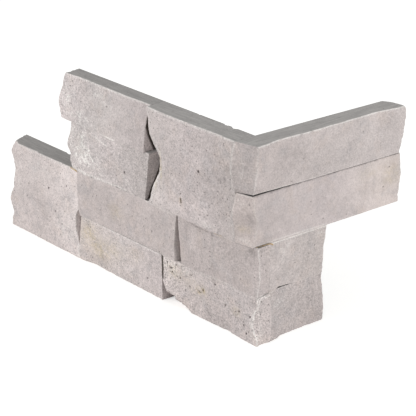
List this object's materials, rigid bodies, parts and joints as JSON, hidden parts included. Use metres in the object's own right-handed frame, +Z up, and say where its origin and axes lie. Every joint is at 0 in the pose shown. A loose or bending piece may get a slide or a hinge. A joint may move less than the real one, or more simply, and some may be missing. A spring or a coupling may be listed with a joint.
{
  "type": "ledger stone corner",
  "caption": "Outside corner of split-face stacked stone cladding: strips of natural stone glued into an L with stepped, interlocking ends and a sawn flat back.",
  "frame": {"origin": "foot of the wall's own corner, where the sawn back of the long leg meets the sawn back of the return leg", "axes": "+Z up the corner; the long leg runs to -X with its face toward -Y; the return leg runs to +Y with its face toward +X"},
  "size_m": [0.3088, 0.1516, 0.15],
  "materials": {
    "split_stone": "split face, sawn beds and back, mauve-grey"
  },
  "bodies": {
    "root": {"top_left_strip": "split_stone", "second_left_strip": "split_stone", "tall_middle_block": "split_stone", "tall_left_block": "split_stone", "third_middle_strip": "split_stone", "bottom_middle_strip": "split_stone", "third_corner_strip": "split_stone", "bottom_corner_strip": "split_stone", "top_return_strip": "split_stone", "second_return_strip": "split_stone", "third_return_stub": "split_stone", "bottom_return_stub": "split_stone"}
  },
  "joints": []
}
